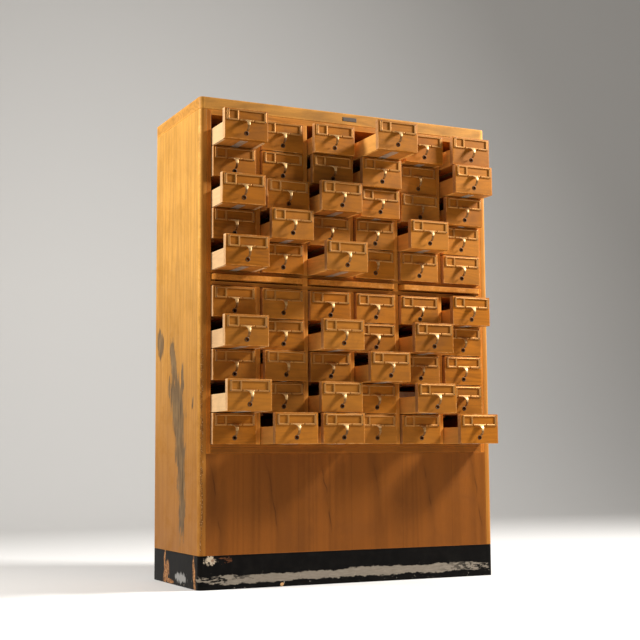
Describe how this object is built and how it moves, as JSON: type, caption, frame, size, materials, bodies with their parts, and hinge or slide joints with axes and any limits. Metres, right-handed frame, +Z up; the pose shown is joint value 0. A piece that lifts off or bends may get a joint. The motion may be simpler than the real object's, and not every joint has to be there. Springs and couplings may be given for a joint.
{
  "type": "card catalog cabinet",
  "caption": "Wooden card catalog cabinet: banks of small card drawers with label-holder pulls that slide out, pull-out reference shelves between them, panelled base and plinth.",
  "frame": {"origin": "on the floor under the middle of the case, on the plinth's cross member", "axes": "+Z up, front faces -Y, +X to the right seen from the front"},
  "size_m": [1.0356, 0.6131, 1.5057],
  "materials": {
    "case_wood": "satin varnish, golden",
    "drawer_wood": "satin varnish, mid brown",
    "panel_veneer": "satin varnish, reddish veneer",
    "inner_wood": "thin varnish",
    "plinth_paint": "worn black paint",
    "holder_brass": "aged satin",
    "follower_metal": "dull"
  },
  "bodies": {
    "cabinet": {"left_side": "case_wood", "right_side": "case_wood", "top_board": "case_wood", "plinth": "plinth_paint", "base_front_panel": "panel_veneer", "bottom_board": "inner_wood", "back_panel": "inner_wood", "lower_bank": "inner_wood", "upper_bank": "inner_wood"},
    "drawer_row01_col1": {"drawer_row01_col1": "drawer_wood"},
    "drawer_row01_col2": {"drawer_row01_col2": "drawer_wood"},
    "drawer_row01_col3": {"drawer_row01_col3": "drawer_wood"},
    "drawer_row01_col4": {"drawer_row01_col4": "drawer_wood"},
    "drawer_row01_col5": {"drawer_row01_col5": "drawer_wood"},
    "drawer_row01_col6": {"drawer_row01_col6": "drawer_wood"},
    "drawer_row02_col3": {"drawer_row02_col3": "drawer_wood"},
    "drawer_row02_col4": {"drawer_row02_col4": "drawer_wood"},
    "drawer_row02_col6": {"drawer_row02_col6": "drawer_wood"},
    "drawer_row03_col1": {"drawer_row03_col1": "drawer_wood"},
    "drawer_row03_col2": {"drawer_row03_col2": "drawer_wood"},
    "drawer_row03_col3": {"drawer_row03_col3": "drawer_wood"},
    "drawer_row03_col4": {"drawer_row03_col4": "drawer_wood"},
    "drawer_row03_col5": {"drawer_row03_col5": "drawer_wood"},
    "drawer_row03_col6": {"drawer_row03_col6": "drawer_wood"},
    "drawer_row04_col2": {"drawer_row04_col2": "drawer_wood"},
    "drawer_row04_col5": {"drawer_row04_col5": "drawer_wood"},
    "drawer_row05_col1": {"drawer_row05_col1": "drawer_wood"},
    "drawer_row05_col2": {"drawer_row05_col2": "drawer_wood"},
    "drawer_row05_col3": {"drawer_row05_col3": "drawer_wood"},
    "drawer_row05_col4": {"drawer_row05_col4": "drawer_wood"},
    "drawer_row05_col5": {"drawer_row05_col5": "drawer_wood"},
    "drawer_row05_col6": {"drawer_row05_col6": "drawer_wood"},
    "drawer_row06_col1": {"drawer_row06_col1": "drawer_wood"},
    "drawer_row06_col2": {"drawer_row06_col2": "drawer_wood"},
    "drawer_row06_col3": {"drawer_row06_col3": "drawer_wood"},
    "drawer_row06_col4": {"drawer_row06_col4": "drawer_wood"},
    "drawer_row06_col5": {"drawer_row06_col5": "drawer_wood"},
    "drawer_row06_col6": {"drawer_row06_col6": "drawer_wood"},
    "drawer_row07_col1": {"drawer_row07_col1": "drawer_wood"},
    "drawer_row07_col2": {"drawer_row07_col2": "drawer_wood"},
    "drawer_row07_col3": {"drawer_row07_col3": "drawer_wood"},
    "drawer_row07_col4": {"drawer_row07_col4": "drawer_wood"},
    "drawer_row07_col5": {"drawer_row07_col5": "drawer_wood"},
    "drawer_row07_col6": {"drawer_row07_col6": "drawer_wood"},
    "drawer_row08_col2": {"drawer_row08_col2": "drawer_wood"},
    "drawer_row08_col4": {"drawer_row08_col4": "drawer_wood"},
    "drawer_row09_col1": {"drawer_row09_col1": "drawer_wood"},
    "drawer_row09_col2": {"drawer_row09_col2": "drawer_wood"},
    "drawer_row09_col3": {"drawer_row09_col3": "drawer_wood"},
    "drawer_row09_col4": {"drawer_row09_col4": "drawer_wood"},
    "drawer_row09_col5": {"drawer_row09_col5": "drawer_wood", "label_holder": "holder_brass"},
    "drawer_row09_col6": {"drawer_row09_col6": "drawer_wood"},
    "drawer_row10_col2": {"drawer_row10_col2": "drawer_wood"},
    "drawer_row10_col3": {"drawer_row10_col3": "drawer_wood"},
    "drawer_row10_col6": {"drawer_row10_col6": "drawer_wood"},
    "card_follower": {"card_follower": "follower_metal"},
    "reference_shelf_1": {"reference_shelf_1": "case_wood"},
    "reference_shelf_2": {"reference_shelf_2": "case_wood"},
    "reference_shelf_3": {"reference_shelf_3": "case_wood"}
  },
  "joints": [
    {"name": "drawer_row01_col1_slide", "type": "slide", "parent": "cabinet", "child": "drawer_row01_col1", "axis": [0, -1, 0], "range_m": [-0.096, 0.224]},
    {"name": "drawer_row01_col2_slide", "type": "slide", "parent": "cabinet", "child": "drawer_row01_col2", "axis": [0, -1, 0], "range_m": [0, 0.32]},
    {"name": "drawer_row01_col3_slide", "type": "slide", "parent": "cabinet", "child": "drawer_row01_col3", "axis": [0, -1, 0], "range_m": [-0.04, 0.28]},
    {"name": "drawer_row01_col4_slide", "type": "slide", "parent": "cabinet", "child": "drawer_row01_col4", "axis": [0, -1, 0], "range_m": [-0.16096, 0.15904]},
    {"name": "drawer_row01_col5_slide", "type": "slide", "parent": "cabinet", "child": "drawer_row01_col5", "axis": [0, -1, 0], "range_m": [-0.0448, 0.2752]},
    {"name": "drawer_row01_col6_slide", "type": "slide", "parent": "cabinet", "child": "drawer_row01_col6", "axis": [0, -1, 0], "range_m": [-0.072, 0.248]},
    {"name": "drawer_row02_col3_slide", "type": "slide", "parent": "cabinet", "child": "drawer_row02_col3", "axis": [0, -1, 0], "range_m": [-0.02496, 0.29504]},
    {"name": "drawer_row02_col4_slide", "type": "slide", "parent": "cabinet", "child": "drawer_row02_col4", "axis": [0, -1, 0], "range_m": [-0.05312, 0.26688]},
    {"name": "drawer_row02_col6_slide", "type": "slide", "parent": "cabinet", "child": "drawer_row02_col6", "axis": [0, -1, 0], "range_m": [-0.0864, 0.2336]},
    {"name": "drawer_row03_col1_slide", "type": "slide", "parent": "cabinet", "child": "drawer_row03_col1", "axis": [0, -1, 0], "range_m": [-0.0768, 0.2432]},
    {"name": "drawer_row03_col2_slide", "type": "slide", "parent": "cabinet", "child": "drawer_row03_col2", "axis": [0, -1, 0], "range_m": [-0.04288, 0.27712]},
    {"name": "drawer_row03_col3_slide", "type": "slide", "parent": "cabinet", "child": "drawer_row03_col3", "axis": [0, -1, 0], "range_m": [-0.08992, 0.23008]},
    {"name": "drawer_row03_col4_slide", "type": "slide", "parent": "cabinet", "child": "drawer_row03_col4", "axis": [0, -1, 0], "range_m": [-0.0384, 0.2816]},
    {"name": "drawer_row03_col5_slide", "type": "slide", "parent": "cabinet", "child": "drawer_row03_col5", "axis": [0, -1, 0], "range_m": [-0.01088, 0.30912]},
    {"name": "drawer_row03_col6_slide", "type": "slide", "parent": "cabinet", "child": "drawer_row03_col6", "axis": [0, -1, 0], "range_m": [-0.02496, 0.29504]},
    {"name": "drawer_row04_col2_slide", "type": "slide", "parent": "cabinet", "child": "drawer_row04_col2", "axis": [0, -1, 0], "range_m": [-0.07488, 0.24512]},
    {"name": "drawer_row04_col5_slide", "type": "slide", "parent": "cabinet", "child": "drawer_row04_col5", "axis": [0, -1, 0], "range_m": [-0.072, 0.248]},
    {"name": "drawer_row05_col1_slide", "type": "slide", "parent": "cabinet", "child": "drawer_row05_col1", "axis": [0, -1, 0], "range_m": [-0.10496, 0.21504]},
    {"name": "drawer_row05_col2_slide", "type": "slide", "parent": "cabinet", "child": "drawer_row05_col2", "axis": [0, -1, 0], "range_m": [0, 0.32]},
    {"name": "drawer_row05_col3_slide", "type": "slide", "parent": "cabinet", "child": "drawer_row05_col3", "axis": [0, -1, 0], "range_m": [-0.12288, 0.19712]},
    {"name": "drawer_row05_col4_slide", "type": "slide", "parent": "cabinet", "child": "drawer_row05_col4", "axis": [0, -1, 0], "range_m": [0, 0.32]},
    {"name": "drawer_row05_col5_slide", "type": "slide", "parent": "cabinet", "child": "drawer_row05_col5", "axis": [0, -1, 0], "range_m": [0, 0.32]},
    {"name": "drawer_row05_col6_slide", "type": "slide", "parent": "cabinet", "child": "drawer_row05_col6", "axis": [0, -1, 0], "range_m": [0, 0.32]},
    {"name": "drawer_row06_col1_slide", "type": "slide", "parent": "cabinet", "child": "drawer_row06_col1", "axis": [0, -1, 0], "range_m": [0, 0.32]},
    {"name": "drawer_row06_col2_slide", "type": "slide", "parent": "cabinet", "child": "drawer_row06_col2", "axis": [0, -1, 0], "range_m": [0, 0.32]},
    {"name": "drawer_row06_col3_slide", "type": "slide", "parent": "cabinet", "child": "drawer_row06_col3", "axis": [0, -1, 0], "range_m": [0, 0.32]},
    {"name": "drawer_row06_col4_slide", "type": "slide", "parent": "cabinet", "child": "drawer_row06_col4", "axis": [0, -1, 0], "range_m": [0, 0.32]},
    {"name": "drawer_row06_col5_slide", "type": "slide", "parent": "cabinet", "child": "drawer_row06_col5", "axis": [0, -1, 0], "range_m": [0, 0.32]},
    {"name": "drawer_row06_col6_slide", "type": "slide", "parent": "cabinet", "child": "drawer_row06_col6", "axis": [0, -1, 0], "range_m": [-0.056, 0.264]},
    {"name": "drawer_row07_col1_slide", "type": "slide", "parent": "cabinet", "child": "drawer_row07_col1", "axis": [0, -1, 0], "range_m": [-0.09888, 0.22112]},
    {"name": "drawer_row07_col2_slide", "type": "slide", "parent": "cabinet", "child": "drawer_row07_col2", "axis": [0, -1, 0], "range_m": [0, 0.32]},
    {"name": "drawer_row07_col3_slide", "type": "slide", "parent": "cabinet", "child": "drawer_row07_col3", "axis": [0, -1, 0], "range_m": [-0.09408, 0.22592]},
    {"name": "drawer_row07_col4_slide", "type": "slide", "parent": "cabinet", "child": "drawer_row07_col4", "axis": [0, -1, 0], "range_m": [0, 0.32]},
    {"name": "drawer_row07_col5_slide", "type": "slide", "parent": "cabinet", "child": "drawer_row07_col5", "axis": [0, -1, 0], "range_m": [-0.08992, 0.23008]},
    {"name": "drawer_row07_col6_slide", "type": "slide", "parent": "cabinet", "child": "drawer_row07_col6", "axis": [0, -1, 0], "range_m": [0, 0.32]},
    {"name": "drawer_row08_col2_slide", "type": "slide", "parent": "cabinet", "child": "drawer_row08_col2", "axis": [0, -1, 0], "range_m": [-0.0192, 0.3008]},
    {"name": "drawer_row08_col4_slide", "type": "slide", "parent": "cabinet", "child": "drawer_row08_col4", "axis": [0, -1, 0], "range_m": [-0.09504, 0.22496]},
    {"name": "drawer_row09_col1_slide", "type": "slide", "parent": "cabinet", "child": "drawer_row09_col1", "axis": [0, -1, 0], "range_m": [-0.12096, 0.19904]},
    {"name": "drawer_row09_col2_slide", "type": "slide", "parent": "cabinet", "child": "drawer_row09_col2", "axis": [0, -1, 0], "range_m": [0, 0.32]},
    {"name": "drawer_row09_col3_slide", "type": "slide", "parent": "cabinet", "child": "drawer_row09_col3", "axis": [0, -1, 0], "range_m": [-0.07808, 0.24192]},
    {"name": "drawer_row09_col4_slide", "type": "slide", "parent": "cabinet", "child": "drawer_row09_col4", "axis": [0, -1, 0], "range_m": [0, 0.32]},
    {"name": "drawer_row09_col5_slide", "type": "slide", "parent": "cabinet", "child": "drawer_row09_col5", "axis": [0, -1, 0], "range_m": [-0.10208, 0.21792]},
    {"name": "drawer_row09_col6_slide", "type": "slide", "parent": "cabinet", "child": "drawer_row09_col6", "axis": [0, -1, 0], "range_m": [0, 0.32]},
    {"name": "drawer_row10_col2_slide", "type": "slide", "parent": "cabinet", "child": "drawer_row10_col2", "axis": [0, -1, 0], "range_m": [-0.096, 0.224]},
    {"name": "drawer_row10_col3_slide", "type": "slide", "parent": "cabinet", "child": "drawer_row10_col3", "axis": [0, -1, 0], "range_m": [-0.08992, 0.23008]},
    {"name": "drawer_row10_col6_slide", "type": "slide", "parent": "cabinet", "child": "drawer_row10_col6", "axis": [0, -1, 0], "range_m": [-0.09088, 0.22912]},
    {"name": "card_follower_slide", "type": "slide", "parent": "drawer_row09_col5", "child": "card_follower", "axis": [0, -1, 0], "range_m": [-0.14, 0.205]},
    {"name": "reference_shelf_1_slide", "type": "slide", "parent": "cabinet", "child": "reference_shelf_1", "axis": [0, -1, 0], "range_m": [-0.0039, 0.2561]},
    {"name": "reference_shelf_2_slide", "type": "slide", "parent": "cabinet", "child": "reference_shelf_2", "axis": [0, -1, 0], "range_m": [-0.0039, 0.2561]},
    {"name": "reference_shelf_3_slide", "type": "slide", "parent": "cabinet", "child": "reference_shelf_3", "axis": [0, -1, 0], "range_m": [-0.0039, 0.2561]}
  ]
}
